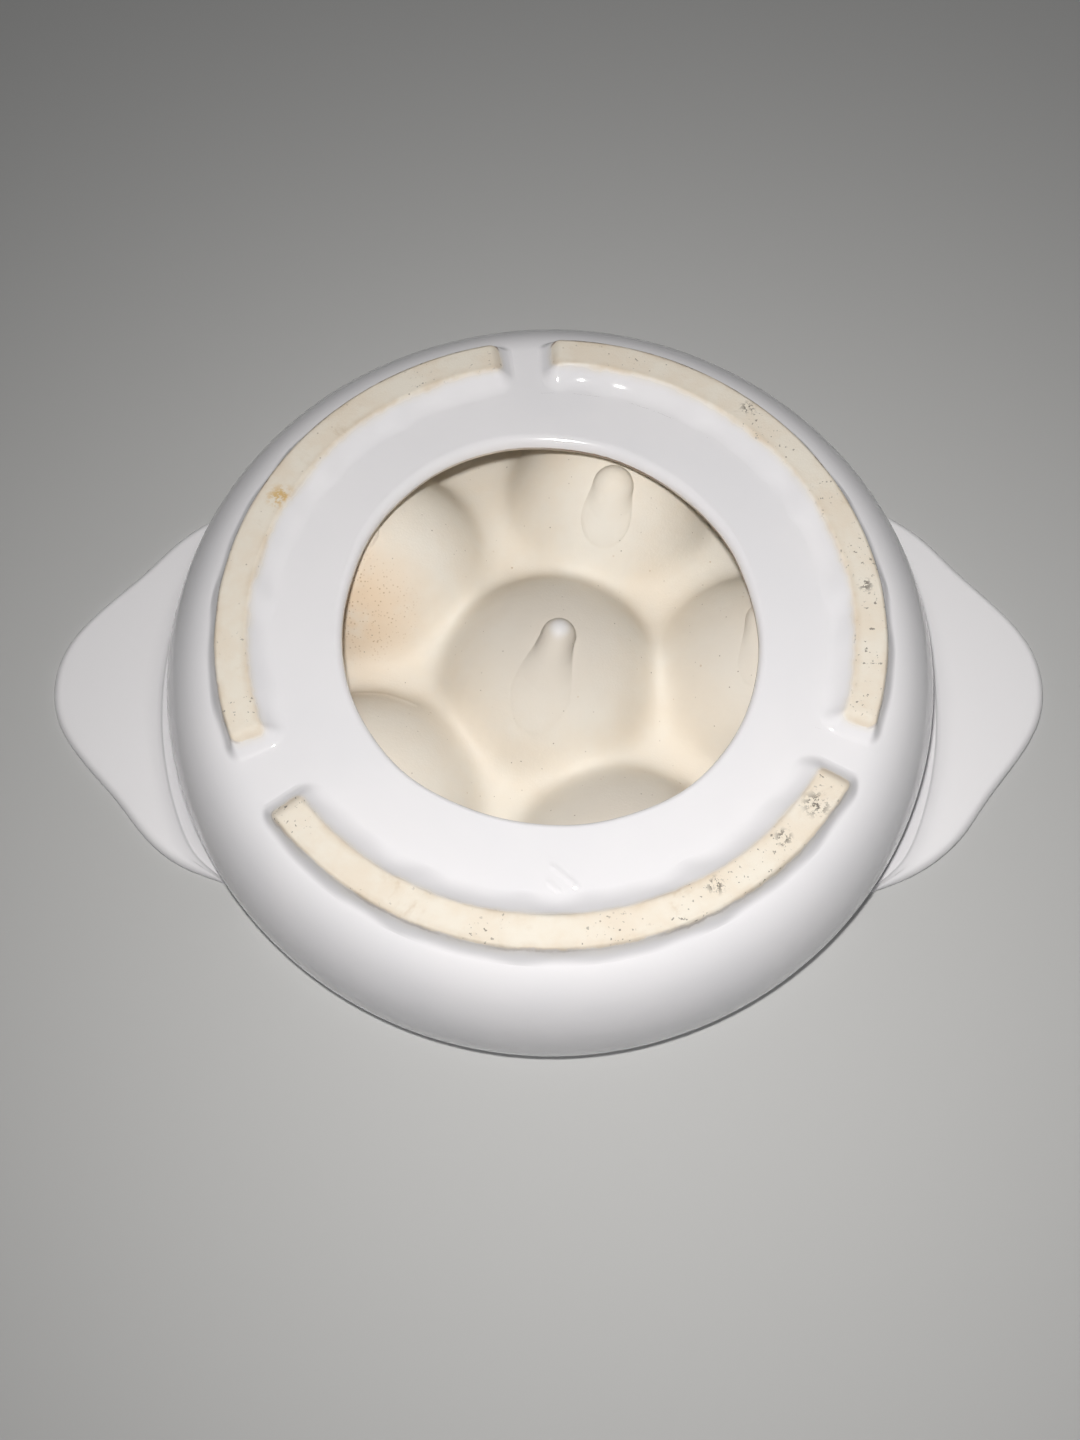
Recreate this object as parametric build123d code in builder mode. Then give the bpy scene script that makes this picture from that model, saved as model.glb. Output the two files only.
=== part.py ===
from build123d import *
import os
from math import asin, cos, degrees, radians, sin, sqrt

# Egg holder tray: a slip-cast, glazed dish with six egg wells, two lug handles and a foot in
# three arcs. Sizes are in millimetres. The tray stands on its foot at z = 0, its wells open
# upwards, and its handles lie along X. Each node is one section of the clay, and neighbouring
# sections meet face to face.

# Heights above the table
foot_height = 4.0
base_thickness = 4.0
belly_height = 32.2  # where the outer wall is widest
rim_underside = 38.5
shoulder_height = 42.0  # where the wall's curve tightens into the edge of the rim
deck_underside = 39.0
tray_height = 44.0

# Outer wall
base_radius = 77.0
belly_radius = 95.0
upper_wall_radius = 14.0  # radius of the wall's curve above the belly
wall_thickness = 4.5

# Hole in the base, trimmed by hand and slightly oval
opening_long_radius = 50.2
opening_short_radius = 48.2
opening_turn = 50.0  # direction of its long axis
opening_lip_radius = 1.8

# Foot ring, cut by three gaps
foot_outer_radius = 77.0
foot_inner_radius = 69.9
foot_root_inner_radius = 66.5
foot_edge_radius = 0.8
foot_gap_centers = [26.5, 149.0, 265.2]
foot_gap_width = 13.0

# Egg wells: one in the middle and five around it
ring_well_count = 5
ring_well_distance = 55.6
well_radius = 24.4
well_lip_radius = 2.0
well_floor = 18.9  # height of the lowest point inside a well
dome_radius = 27.9
dome_bottom = 14.9

# Drips of slip under the wells
drip_radius = 4.2
drip_length = 4.8
center_drip_offset = (1.9, -1.5)
ring_drip_offsets = [(-2.5, -6.0), (-0.5, 0.5), (0.5, 0.0), (-0.3, 3.5), (-0.9, 8.8)]

# Handles: half of each outline, from the tip to where it joins the rim. The left one is a
# little slimmer.
right_handle_outline = [
    (128.5, 0.0),
    (126.8, 9.5),
    (119.2, 21.4),
    (110.2, 31.8),
    (102.0, 41.9),
    (92.8, 49.3),
    (81.7, 55.1),
    (70.8, 59.4),
]
left_handle_outline = [
    (128.5, 0.0),
    (126.7, 9.6),
    (118.8, 21.3),
    (109.2, 31.5),
    (100.9, 41.2),
    (91.4, 48.6),
    (80.0, 54.0),
    (70.6, 59.2),
]
handle_end_angle = 44.0
handle_end_radius = 90.0
handle_sector = 45.0  # the handle keeps the stretch of rim this far each side of X
handle_edge_radius = 2.2
root_fillet_radius = 4.0
root_fillet_sector = 29.0

# Worked-out sizes
shoulder_angle = degrees(asin((shoulder_height - belly_height) / upper_wall_radius))
upper_wall_center = belly_radius - upper_wall_radius
shoulder_radius = upper_wall_center + upper_wall_radius * cos(radians(shoulder_angle))
edge_radius = (tray_height - shoulder_height) / (1 - sin(radians(shoulder_angle)))
deck_radius = shoulder_radius - edge_radius * cos(radians(shoulder_angle))
rim_start_angle = degrees(asin((rim_underside - belly_height) / upper_wall_radius))
inner_wall_radius = upper_wall_radius - wall_thickness
inner_wall_end_angle = degrees(asin((rim_underside - belly_height) / inner_wall_radius))
rim_underside_radius = upper_wall_center + upper_wall_radius * cos(radians(rim_start_angle))
inner_wall_end_radius = upper_wall_center + inner_wall_radius * cos(radians(inner_wall_end_angle))
base_top = foot_height + base_thickness
well_mouth_height = tray_height - well_lip_radius
dome_center_height = dome_bottom + dome_radius
cup_neck_radius = sqrt(dome_radius**2 - (dome_center_height - deck_underside) ** 2)
dome_end_angle = degrees(asin((dome_center_height - deck_underside) / dome_radius))


def radial_plane(angle):
    """Upright plane through the tray's axis, whose own x runs outwards at this angle."""
    a = radians(angle)
    return Plane(origin=(0, 0, 0), x_dir=(cos(a), sin(a), 0), z_dir=(sin(a), -cos(a), 0))


def upright_plane(x, y):
    """Upright plane through the point (x, y), with its own x along X."""
    return Plane(origin=(x, y, 0), x_dir=(1, 0, 0), z_dir=(0, -1, 0))


def ring_well_center(index):
    """Centre of one of the wells in the ring."""
    a = radians(index * 360 / ring_well_count)
    return ring_well_distance * cos(a), ring_well_distance * sin(a)


def save(piece, label):
    """Label a finished section and write it to its own file."""
    piece.part.label = label
    export_step(piece.part, f"parts/{label}.step")
    box = piece.part.bounding_box()
    print(f"{label}: {piece.part.volume:.0f} mm3, z {box.min.Z:.2f} to {box.max.Z:.2f}")


def make_bowl_wall():
    """Outer wall: a quarter ellipse up to the belly, then a tighter arc in to the rim."""
    rise = belly_height - foot_height
    spread = belly_radius - base_radius
    with BuildPart() as wall:
        with BuildSketch(Plane.XZ):
            with BuildLine():
                EllipticalCenterArc((base_radius, belly_height), spread, rise, 270, arc_size=90)
                CenterArc((upper_wall_center, belly_height), upper_wall_radius, 0, rim_start_angle)
                Line((rim_underside_radius, rim_underside), (inner_wall_end_radius, rim_underside))
                CenterArc(
                    (upper_wall_center, belly_height), inner_wall_radius, 0, inner_wall_end_angle
                )
                EllipticalCenterArc(
                    (base_radius, belly_height),
                    spread - wall_thickness,
                    rise - base_thickness,
                    270,
                    arc_size=90,
                )
                Line((base_radius, base_top), (base_radius, foot_height))
            make_face()
        revolve(axis=Axis.Z)
    save(wall, "bowl_wall")


def make_base_ring():
    """Flat base between the foot and the oval hole, whose lip is rounded."""
    with BuildPart() as base:
        with BuildSketch(Plane.XY.offset(foot_height)):
            Circle(base_radius)
            Ellipse(
                opening_long_radius,
                opening_short_radius,
                rotation=opening_turn,
                mode=Mode.SUBTRACT,
            )
        extrude(amount=base_thickness)
        opening_edges = base.edges().filter_by(GeomType.ELLIPSE)
        fillet(opening_edges, radius=opening_lip_radius)
    save(base, "base_ring")


def make_foot_arcs():
    """Three stretches of the foot ring, each sloping in from its root to the flat it stands on."""
    gap_count = len(foot_gap_centers)
    for index, gap_center in enumerate(foot_gap_centers):
        next_center = foot_gap_centers[(index + 1) % gap_count]
        span = (next_center - gap_center) % 360 - foot_gap_width
        with BuildPart() as arc:
            with BuildSketch(radial_plane(gap_center + foot_gap_width / 2)):
                with BuildLine():
                    Polyline(
                        (foot_inner_radius, 0),
                        (foot_outer_radius, 0),
                        (foot_outer_radius, foot_height),
                        (foot_root_inner_radius, foot_height),
                        close=True,
                    )
                make_face()
            revolve(axis=Axis.Z, revolution_arc=span)
            standing_edges = arc.faces().sort_by(Axis.Z)[0].edges()
            fillet(standing_edges, radius=foot_edge_radius)
        save(arc, f"foot_arc_{index + 1}")


def rim_section():
    """Section of the rim: the wall's curve carried up, then rounded over into the flat top."""
    with BuildSketch() as section:
        with BuildLine():
            CenterArc(
                (upper_wall_center, belly_height),
                upper_wall_radius,
                rim_start_angle,
                shoulder_angle - rim_start_angle,
            )
            CenterArc(
                (deck_radius, tray_height - edge_radius),
                edge_radius,
                shoulder_angle,
                90 - shoulder_angle,
            )
            Polyline(
                (deck_radius, tray_height),
                (deck_radius, rim_underside),
                (rim_underside_radius, rim_underside),
            )
        make_face()
    return section.face()


def make_rims():
    """The two stretches of rim between the handles."""
    for label, start in (("rim_back", handle_sector), ("rim_front", 180 + handle_sector)):
        with BuildPart() as rim:
            with BuildSketch(radial_plane(start)):
                add(rim_section())
            revolve(axis=Axis.Z, revolution_arc=180 - 2 * handle_sector)
        save(rim, label)


def make_handles():
    """Flat lug handles, flush with the top, with a concave fillet under their roots."""
    end = radians(handle_end_angle)
    end_point = (handle_end_radius * cos(end), handle_end_radius * sin(end))
    fillet_center_height = rim_underside - root_fillet_radius
    reach = upper_wall_radius + root_fillet_radius
    touch_angle = degrees(asin((fillet_center_height - belly_height) / reach))
    fillet_center = (upper_wall_center + reach * cos(radians(touch_angle)), fillet_center_height)
    handles = (("handle_right", 1, right_handle_outline), ("handle_left", -1, left_handle_outline))
    for label, side, half_outline in handles:
        facing = 90 - 90 * side
        outline = half_outline + [end_point]
        other_half = [(x, -y) for x, y in reversed(outline)]
        with BuildPart() as handle:
            top_plane = Plane(origin=(0, 0, rim_underside), x_dir=(side, 0, 0), z_dir=(0, 0, 1))
            with BuildSketch(top_plane):
                with BuildLine():
                    Spline(
                        *other_half[:-1],
                        *outline,
                        tangents=[(sin(end), cos(end)), (-sin(end), cos(end))],
                    )
                    Polyline(end_point, (0, 0), other_half[0])
                make_face()
            extrude(amount=tray_height - rim_underside)
            outline_edges = handle.edges().filter_by(GeomType.BSPLINE)
            fillet(outline_edges, radius=handle_edge_radius)
            with BuildSketch(radial_plane(facing - handle_sector)):
                add(rim_section())
            revolve(axis=Axis.Z, revolution_arc=2 * handle_sector)
            with BuildSketch(radial_plane(facing - root_fillet_sector)):
                with BuildLine():
                    CenterArc(
                        (upper_wall_center, belly_height),
                        upper_wall_radius,
                        touch_angle,
                        rim_start_angle - touch_angle,
                    )
                    CenterArc(fillet_center, root_fillet_radius, 90, 90 + touch_angle)
                    Line((rim_underside_radius, rim_underside), (fillet_center[0], rim_underside))
                make_face()
            revolve(axis=Axis.Z, revolution_arc=2 * root_fillet_sector)
            with BuildSketch(Plane.XY.offset(rim_underside)):
                Circle(deck_radius)
            extrude(amount=tray_height - rim_underside, mode=Mode.SUBTRACT)
        save(handle, label)


def make_well_deck():
    """Flat top plate, with a hole for each cup."""
    centers = [(0, 0)] + [ring_well_center(i) for i in range(ring_well_count)]
    with BuildPart() as deck:
        with BuildSketch(Plane.XY.offset(deck_underside)):
            Circle(deck_radius)
            with Locations(*centers):
                Circle(cup_neck_radius, mode=Mode.SUBTRACT)
        extrude(amount=tray_height - deck_underside)
    save(deck, "well_deck")


def make_egg_well(center, label):
    """One cup: a round-bottomed well with a rolled mouth, and a dome underneath."""
    with BuildPart() as cup:
        with BuildSketch(upright_plane(*center)):
            with BuildLine():
                CenterArc((0, dome_center_height), dome_radius, 270, 90 - dome_end_angle)
                Polyline(
                    (cup_neck_radius, deck_underside),
                    (cup_neck_radius, tray_height),
                    (well_radius + well_lip_radius, tray_height),
                )
                CenterArc(
                    (well_radius + well_lip_radius, well_mouth_height), well_lip_radius, 90, 90
                )
                EllipticalCenterArc(
                    (0, well_mouth_height),
                    well_radius,
                    well_mouth_height - well_floor,
                    270,
                    arc_size=90,
                )
                Line((0, well_floor), (0, dome_bottom))
            make_face()
        revolve(axis=Axis((*center, 0), (0, 0, 1)))
    save(cup, label)


def make_slip_drip(well_center, offset, label):
    """A frozen drip under one cup: a blunt cone that grows out of the dome."""
    x = well_center[0] + offset[0]
    y = well_center[1] + offset[1]
    off_axis = sqrt(offset[0] ** 2 + offset[1] ** 2)
    surface = dome_center_height - sqrt(dome_radius**2 - off_axis**2)
    tip = surface - drip_length
    root = surface + drip_radius
    with BuildPart() as drip:
        with BuildSketch(upright_plane(x, y)):
            with BuildLine():
                EllipticalCenterArc((0, root), drip_radius, root - tip, 270, arc_size=90)
                Polyline((drip_radius, root), (0, root), (0, tip))
            make_face()
        revolve(axis=Axis((x, y, 0), (0, 0, 1)))
        with Locations((*well_center, dome_center_height)):
            Sphere(dome_radius, rotation=(90, 0, 0), mode=Mode.SUBTRACT)
    save(drip, label)


def make_wells():
    """The cups and the drips under them."""
    make_egg_well((0, 0), "egg_well_center")
    make_slip_drip((0, 0), center_drip_offset, "slip_drip_center")
    for index in range(ring_well_count):
        center = ring_well_center(index)
        make_egg_well(center, f"egg_well_{index + 1}")
        make_slip_drip(center, ring_drip_offsets[index], f"slip_drip_{index + 1}")


os.makedirs("parts", exist_ok=True)
make_bowl_wall()
make_base_ring()
make_foot_arcs()
make_rims()
make_handles()
make_well_deck()
make_wells()
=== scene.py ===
import math

import bpy
import numpy as np
from mathutils import Matrix, Vector
from mathutils.geometry import delaunay_2d_cdt


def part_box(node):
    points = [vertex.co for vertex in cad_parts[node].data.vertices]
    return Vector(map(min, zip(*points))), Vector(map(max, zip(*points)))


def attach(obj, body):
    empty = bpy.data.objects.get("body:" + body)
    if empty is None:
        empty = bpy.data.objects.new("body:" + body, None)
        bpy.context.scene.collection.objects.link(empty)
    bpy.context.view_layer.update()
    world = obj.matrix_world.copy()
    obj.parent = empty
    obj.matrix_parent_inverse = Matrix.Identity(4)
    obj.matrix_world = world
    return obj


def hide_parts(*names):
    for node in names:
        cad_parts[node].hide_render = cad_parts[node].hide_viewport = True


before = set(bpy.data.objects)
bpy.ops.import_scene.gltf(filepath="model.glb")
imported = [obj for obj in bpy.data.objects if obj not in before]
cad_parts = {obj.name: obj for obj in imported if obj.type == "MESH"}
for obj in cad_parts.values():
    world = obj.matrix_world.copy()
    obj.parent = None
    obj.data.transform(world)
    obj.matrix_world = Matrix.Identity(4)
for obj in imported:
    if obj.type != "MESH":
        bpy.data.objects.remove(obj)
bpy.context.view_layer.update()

# The tray is one piece of glazed clay. Every section is rebuilt here as a fine closed mesh that
# meets its neighbours exactly, so that the glaze runs on over the joins. Sizes are in millimetres
# in the row frame, feet at z = 0 and wells opening upwards, and MM turns them into metres.
MM = 0.001


def node_box(node):
    """Lowest and highest corner of a CAD node, in millimetres."""
    low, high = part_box(node)
    return np.array(low) / MM, np.array(high) / MM


# Sizes that the frame gives
base_under = node_box("base_ring")[0][2]
base_top = node_box("base_ring")[1][2]
base_radius = node_box("base_ring")[1][0]
belly_radius = node_box("bowl_wall")[1].max(initial=0, where=[True, True, False])
rim_under = node_box("rim_back")[0][2]
deck_under = node_box("well_deck")[0][2]
deck_radius = node_box("well_deck")[1][0]
tray_height = node_box("well_deck")[1][2]
dome_bottom = node_box("egg_well_center")[0][2]
ring_distance = float(np.mean([box[0] for box in node_box("egg_well_1")]))

# Sizes of the section that no box gives
belly_height = 32.2
upper_wall_radius = 14.0
wall_thickness = 4.5
shoulder_height = 42.0
well_radius = 24.4
well_lip_radius = 2.0
well_floor = 18.9
dome_radius = 27.9
valley_height = 37.9  # where the clay between the domes would lie if it were flat
handle_sector = 45.0
root_fillet = 4.0
plate_edge = 2.6

upper_wall_center = belly_radius - upper_wall_radius
dome_center = dome_bottom + dome_radius
cup_neck = math.sqrt(dome_radius**2 - (dome_center - deck_under) ** 2)
mouth_height = tray_height - well_lip_radius
rim_start = math.asin((rim_under - belly_height) / upper_wall_radius)
ring_angles = np.arange(5) * math.radians(72)
ring_cups = [ring_distance * np.array([math.cos(a), math.sin(a)]) for a in ring_angles]
cup_centers = [np.zeros(2)] + ring_cups

# The root of a handle: the angle at which its fillet touches the wall, where the plate starts to
# be flat, and where the wall is touched
root_touch = math.asin((rim_under - root_fillet - belly_height) / (upper_wall_radius + root_fillet))
root_end = upper_wall_center + (upper_wall_radius + root_fillet) * math.cos(root_touch)
root_start = upper_wall_center + upper_wall_radius * math.cos(root_touch)

# How far past the edge of the glaze a surface counts that is glazed or bare all over
glazed, bare_clay = -9.0, 9.0

# Half of each handle's outline, from its tip to the rim, as (x, y)
right_handle_outline = [
    (128.5, 0.0), (126.8, 9.5), (119.2, 21.4), (110.2, 31.8), (102.0, 41.9),
    (92.8, 49.3), (81.7, 55.1), (70.8, 59.4), (64.0, 62.9),
]
left_handle_outline = [
    (128.5, 0.0), (126.7, 9.6), (118.8, 21.3), (109.2, 31.5), (100.9, 41.2),
    (91.4, 48.6), (80.0, 54.0), (70.6, 59.2), (64.0, 62.9),
]


# ------------ small numeric helpers


def smooth_step(x):
    """0 below 0, 1 above 1, and a smooth rise between."""
    t = np.clip(x, 0.0, 1.0)
    return t * t * (3.0 - 2.0 * t)


def unit(vectors):
    return vectors / np.maximum(np.linalg.norm(vectors, axis=-1, keepdims=True), 1e-12)


def circle(count):
    """Points evenly round a circle of radius 1, as (x, y)."""
    t = np.arange(count) * 2 * math.pi / count
    return np.stack([np.cos(t), np.sin(t)], 1)


def slope_of(height, x, y, step=0.1):
    """How steeply a function of x and y rises along each."""
    rise_x = (height(x + step, y) - height(x - step, y)) / (2 * step)
    rise_y = (height(x, y + step) - height(x, y - step)) / (2 * step)
    return rise_x, rise_y


def segment_distance(x, y, start, end):
    """Distance in plan from points to the straight line between two places."""
    run = np.subtract(end, start)
    along = np.clip(((x - start[0]) * run[0] + (y - start[1]) * run[1]) / (run @ run), 0, 1)
    return np.hypot(x - start[0] - along * run[0], y - start[1] - along * run[1])


def spline_through(xs, ys):
    """A natural cubic spline through the points, level at its first point, as a function."""
    xs, ys = np.asarray(xs, float), np.asarray(ys, float)
    h, count = np.diff(xs), len(xs)
    matrix, right = np.zeros((count, count)), np.zeros(count)
    matrix[0, :2] = 2 * h[0], h[0]
    right[0] = 6 * (ys[1] - ys[0]) / h[0]
    matrix[-1, -1] = 1
    for i in range(1, count - 1):
        matrix[i, i - 1 : i + 2] = h[i - 1], 2 * (h[i - 1] + h[i]), h[i]
        right[i] = 6 * ((ys[i + 1] - ys[i]) / h[i] - (ys[i] - ys[i - 1]) / h[i - 1])
    bend = np.linalg.solve(matrix, right)

    def value(x):
        x = np.clip(x, xs[0], xs[-1])
        i = np.clip(np.searchsorted(xs, x, side="right") - 1, 0, count - 2)
        a, b, width = xs[i + 1] - x, x - xs[i], h[i]
        return (
            (bend[i] * a**3 + bend[i + 1] * b**3) / (6 * width)
            + (ys[i] / width - bend[i] * width / 6) * a
            + (ys[i + 1] / width - bend[i + 1] * width / 6) * b
        )

    return value


def hand_waves():
    """The slow unevenness of hand work: a few long sine waves that move every section alike."""
    rng = np.random.default_rng(11)
    shift_share = 0.0011  # of the wave's length
    waves = []
    for length in (165.0, 140.0, 118.0, 96.0, 80.0, 66.0):
        heading = unit(rng.normal(size=3))
        shift = unit(rng.normal(size=3)) * length * shift_share
        waves.append((heading * 2 * math.pi / length, shift, rng.uniform(0, 2 * math.pi)))
    return waves


WAVES = hand_waves()


def by_hand(points, normals):
    """Moves points by the hand's unevenness and turns their normals to suit."""
    moved, turned = points.copy(), normals.copy()
    for number, shift, phase in WAVES:
        angle = points @ number + phase
        moved += np.sin(angle)[:, None] * shift
        turned -= (np.cos(angle) * (normals @ shift))[:, None] * number
    return moved, unit(turned)


# ------------ building meshes


def grid_faces(rows, columns, wrap_rows, wrap_columns, start=0):
    """Quads over a grid of points laid out row by row."""
    r = np.arange(rows if wrap_rows else rows - 1)
    c = np.arange(columns if wrap_columns else columns - 1)
    r, c = (a.ravel() for a in np.meshgrid(r, c, indexing="ij"))
    r2, c2 = (r + 1) % rows, (c + 1) % columns
    corners = (r * columns + c, r * columns + c2, r2 * columns + c2, r2 * columns + c)
    return (np.stack(corners, 1) + start).tolist()


def fan_faces(hub, ring):
    """Triangles from a hub point to a closed ring of points."""
    return [[hub, ring[i], ring[(i + 1) % len(ring)]] for i in range(len(ring))]


def skirt_faces(loop, offset):
    """Quads that join a closed loop of points to the loop that lies offset further on."""
    return [[b, a, a + offset, b + offset] for a, b in zip(loop, loop[1:] + loop[:1])]


def enclosed_volume(mesh):
    """Six times the volume inside a closed mesh: below zero if its faces look inwards."""
    mesh.calc_loop_triangles()
    triangles = np.empty(len(mesh.loop_triangles) * 3, np.int32)
    mesh.loop_triangles.foreach_get("vertices", triangles)
    places = np.empty(len(mesh.vertices) * 3, np.float32)
    mesh.vertices.foreach_get("co", places)
    a, b, c = places.reshape(-1, 3)[triangles.reshape(-1, 3)].transpose(1, 0, 2).astype(float)
    return float((a * np.cross(b, c)).sum())


def add_object(name, data):
    thing = bpy.data.objects.new(name, data)
    bpy.context.scene.collection.objects.link(thing)
    return thing


def smooth_mesh(name, points, faces, material):
    """A smooth mesh through points given in metres."""
    mesh = bpy.data.meshes.new(name)
    mesh.from_pydata(points.tolist(), [], faces)
    mesh.polygons.foreach_set("use_smooth", [True] * len(mesh.polygons))
    mesh.materials.append(material)
    return mesh


def add_piece(name, nodes, material, points, normals, faces, dry=None):
    """Makes one closed mesh that stands for CAD nodes. dry is how far, in millimetres, each
    point lies past the edge of the glaze, so that the material can draw that edge."""
    points, normals = by_hand(np.asarray(points, float), np.asarray(normals, float))
    mesh = smooth_mesh(name, points * MM, faces, material)
    if enclosed_volume(mesh) < 0:
        mesh.flip_normals()
    mesh.normals_split_custom_set_from_vertices(normals.tolist())
    edge = mesh.attributes.new("dry", "FLOAT", "POINT")
    edge.data.foreach_set("value", np.full(len(points), glazed) if dry is None else dry)
    piece = add_object(name, mesh)
    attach(piece, "root")
    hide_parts(*nodes)


def run_of(center, radii, start, end, count, outward=1):
    """Points of an elliptical arc in the (radius, height) plane, with their normals."""
    t = np.linspace(math.radians(start), math.radians(end), count)
    spot = np.stack([center[0] + radii[0] * np.cos(t), center[1] + radii[1] * np.sin(t)], 1)
    normal = unit(np.stack([np.cos(t) / radii[0], np.sin(t) / radii[1]], 1)) * outward
    return spot, normal


def straight(start, end, count, normal):
    """Points of a straight run in the (radius, height) plane, with one normal."""
    t = np.linspace(0, 1, count)[:, None]
    return (1 - t) * np.array(start) + t * np.array(end), np.tile(normal, (count, 1)).astype(float)


def turned(spots, normals, angles):
    """Sweeps (radius, height) points round the axis: one row of points for each angle."""
    c, s = np.cos(angles)[:, None], np.sin(angles)[:, None]
    grid = np.stack([spots[..., 0] * c, spots[..., 0] * s, spots[..., 1] + 0 * c], -1)
    sides = np.stack([normals[..., 0] * c, normals[..., 0] * s, normals[..., 1] + 0 * c], -1)
    return grid.reshape(-1, 3), sides.reshape(-1, 3)


# ------------ materials


class Nodes:
    """A short way to write a node tree."""

    def __init__(self, name):
        self.material = bpy.data.materials.new(name)
        self.material.use_nodes = True
        self.tree = self.material.node_tree
        self.tree.nodes.clear()
        self.output = self.add("ShaderNodeOutputMaterial")

    def add(self, kind, **settings):
        node = self.tree.nodes.new(kind)
        for key, value in settings.items():
            setattr(node, key, value)
        return node

    def join(self, source, target):
        self.tree.links.new(source, target)

    def put(self, value, socket):
        """Links an output to a socket, or sets the socket's own value."""
        if isinstance(value, bpy.types.NodeSocket):
            self.join(value, socket)
        else:
            socket.default_value = value

    def put_all(self, node, values):
        """Puts a value into each input, known by its name or number."""
        for name, value in values.items():
            self.put(value, node.inputs[name])

    def math(self, operation, a, b):
        node = self.add("ShaderNodeMath", operation=operation)
        self.put_all(node, {0: a, 1: b})
        return node.outputs[0]

    def times(self, a, b):
        return self.math("MULTIPLY", a, b)

    def plus(self, a, b):
        return self.math("ADD", a, b)

    def blend(self, factor, a, b):
        node = self.add("ShaderNodeMix", data_type="RGBA")
        self.put_all(node, {0: factor, 6: a, 7: b})
        return node.outputs[2]

    def tint(self, color, other, factor, strength):
        """Turns a colour towards another, as far as factor times strength says."""
        return self.blend(self.times(factor, strength), color, other)

    def ramp(self, value, low, high, out_low=0.0, out_high=1.0):
        node = self.add("ShaderNodeMapRange", interpolation_type="SMOOTHSTEP")
        self.put(value, node.inputs["Value"])
        ends = {"From Min": low, "From Max": high, "To Min": out_low, "To Max": out_high}
        self.put_all(node, ends)
        return node.outputs["Result"]

    def place(self):
        """Position in the row frame, in metres."""
        return self.add("ShaderNodeTexCoord").outputs["Object"]

    def noise(self, scale, detail=2.0, roughness=0.5, distortion=0.0):
        node = self.add("ShaderNodeTexNoise")
        self.put_all(node, {"Vector": self.place(), "Scale": scale, "Detail": detail})
        self.put_all(node, {"Roughness": roughness, "Distortion": distortion})
        return node.outputs["Fac"]

    def specks(self, cell, size, share):
        """Round dots: one in each cell of this size in metres, kept for this share of cells."""
        node = self.add("ShaderNodeTexVoronoi", feature="F1")
        self.put_all(node, {"Vector": self.place(), "Scale": 1 / cell})
        split = self.add("ShaderNodeSeparateColor")
        self.join(node.outputs["Color"], split.inputs[0])
        dot = self.ramp(node.outputs["Distance"], size * 0.6, size, 1.0, 0.0)
        kept = self.times(dot, self.math("LESS_THAN", split.outputs[0], share))
        return self.times(kept, self.ramp(split.outputs[1], 0.0, 1.0, 0.35, 1.0))

    def along(self, axis):
        """Position along the X, Y or Z axis of the row frame, in metres."""
        split = self.add("ShaderNodeSeparateXYZ")
        self.join(self.place(), split.inputs[0])
        return split.outputs[axis]

    def axis_distance(self):
        """Distance from the tray's axis, in metres."""
        flat = self.add("ShaderNodeVectorMath", operation="MULTIPLY")
        self.put_all(flat, {0: self.place(), 1: (1, 1, 0)})
        length = self.add("ShaderNodeVectorMath", operation="LENGTH")
        self.join(flat.outputs[0], length.inputs[0])
        return length.outputs["Value"]

    def dry(self):
        """How far past the edge of the glaze the surface lies, in millimetres."""
        return self.add("ShaderNodeAttribute", attribute_name="dry").outputs["Fac"]

    def between(self, factor, a, b):
        """A number that goes from a to b as the factor goes from 0 to 1."""
        node = self.add("ShaderNodeMix", data_type="FLOAT")
        self.put_all(node, {0: factor, 2: a, 3: b})
        return node.outputs[0]

    def swing(self, size, *noise):
        """A noise that swings evenly to both sides of 0."""
        return self.times(self.math("SUBTRACT", self.noise(*noise), 0.5), size)

    def near(self, center, reach):
        """1 at a point in the row frame, given in metres, falling to 0 at this reach."""
        node = self.add("ShaderNodeVectorMath", operation="DISTANCE")
        self.put_all(node, {0: self.place(), 1: center})
        return self.ramp(node.outputs["Value"], reach * 0.15, reach, 1.0, 0.0)


GLAZE_WHITE = (0.81, 0.797, 0.815, 1)
GLAZE_SHADE = (0.76, 0.755, 0.78, 1)
# Painted light: a whiter glaze painted on the handles' undersides
GLAZE_PAINTED_LIGHT = (0.93, 0.915, 0.93, 1)
CLAY_CREAM = (0.835, 0.757, 0.648, 1)
CLAY_PALE = (0.852, 0.805, 0.722, 1)
CLAY_GREY_AND_SHADE = (0.63, 0.575, 0.505, 1)
FOOT_CREAM = (0.775, 0.69, 0.575, 1)
FOOT_PALE = (0.80, 0.745, 0.65, 1)
FOOT_OCHRE = (0.62, 0.38, 0.09, 1)
PEACH = (0.80, 0.58, 0.37, 1)
SPECK_BROWN = (0.16, 0.10, 0.06, 1)
STAIN_TAN = (0.50, 0.35, 0.20, 1)
SCUFF_GREY = (0.10, 0.085, 0.07, 1)
# Brown for the lines along the glaze's edges: partly a real brown edge, partly painted shade
BROWN_LINE_AND_SHADE = (0.20, 0.12, 0.08, 1)

# Places in metres: the peach blush on one dome, and the ochre stain on the foot
PEACH_BLUSH = (-0.048, -0.011, 0.022)
OCHRE_STAIN = (-0.0645, -0.0315, 0)

# Domes painted greyer, partly their own tone, partly painted shade against the valleys: a place in
# metres, and how grey
GREY_DOMES = (
    ((0.0, 0.0, 0.015), 0.85),
    ((0.050, 0.0, 0.017), 0.65),
    ((0.016, 0.047, 0.018), 0.80),
    ((-0.043, 0.031, 0.020), 0.25),
)

# Where the foot is scuffed dark: (x, y, reach) in metres
FOOT_SCUFFS = (
    (0.0572, 0.0458, 0.0040),
    (0.0496, 0.0531, 0.0026),
    (0.0345, 0.0635, 0.0028),
    (0.0730, -0.0074, 0.0024),
    (0.0489, -0.0562, 0.0026),
)


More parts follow.
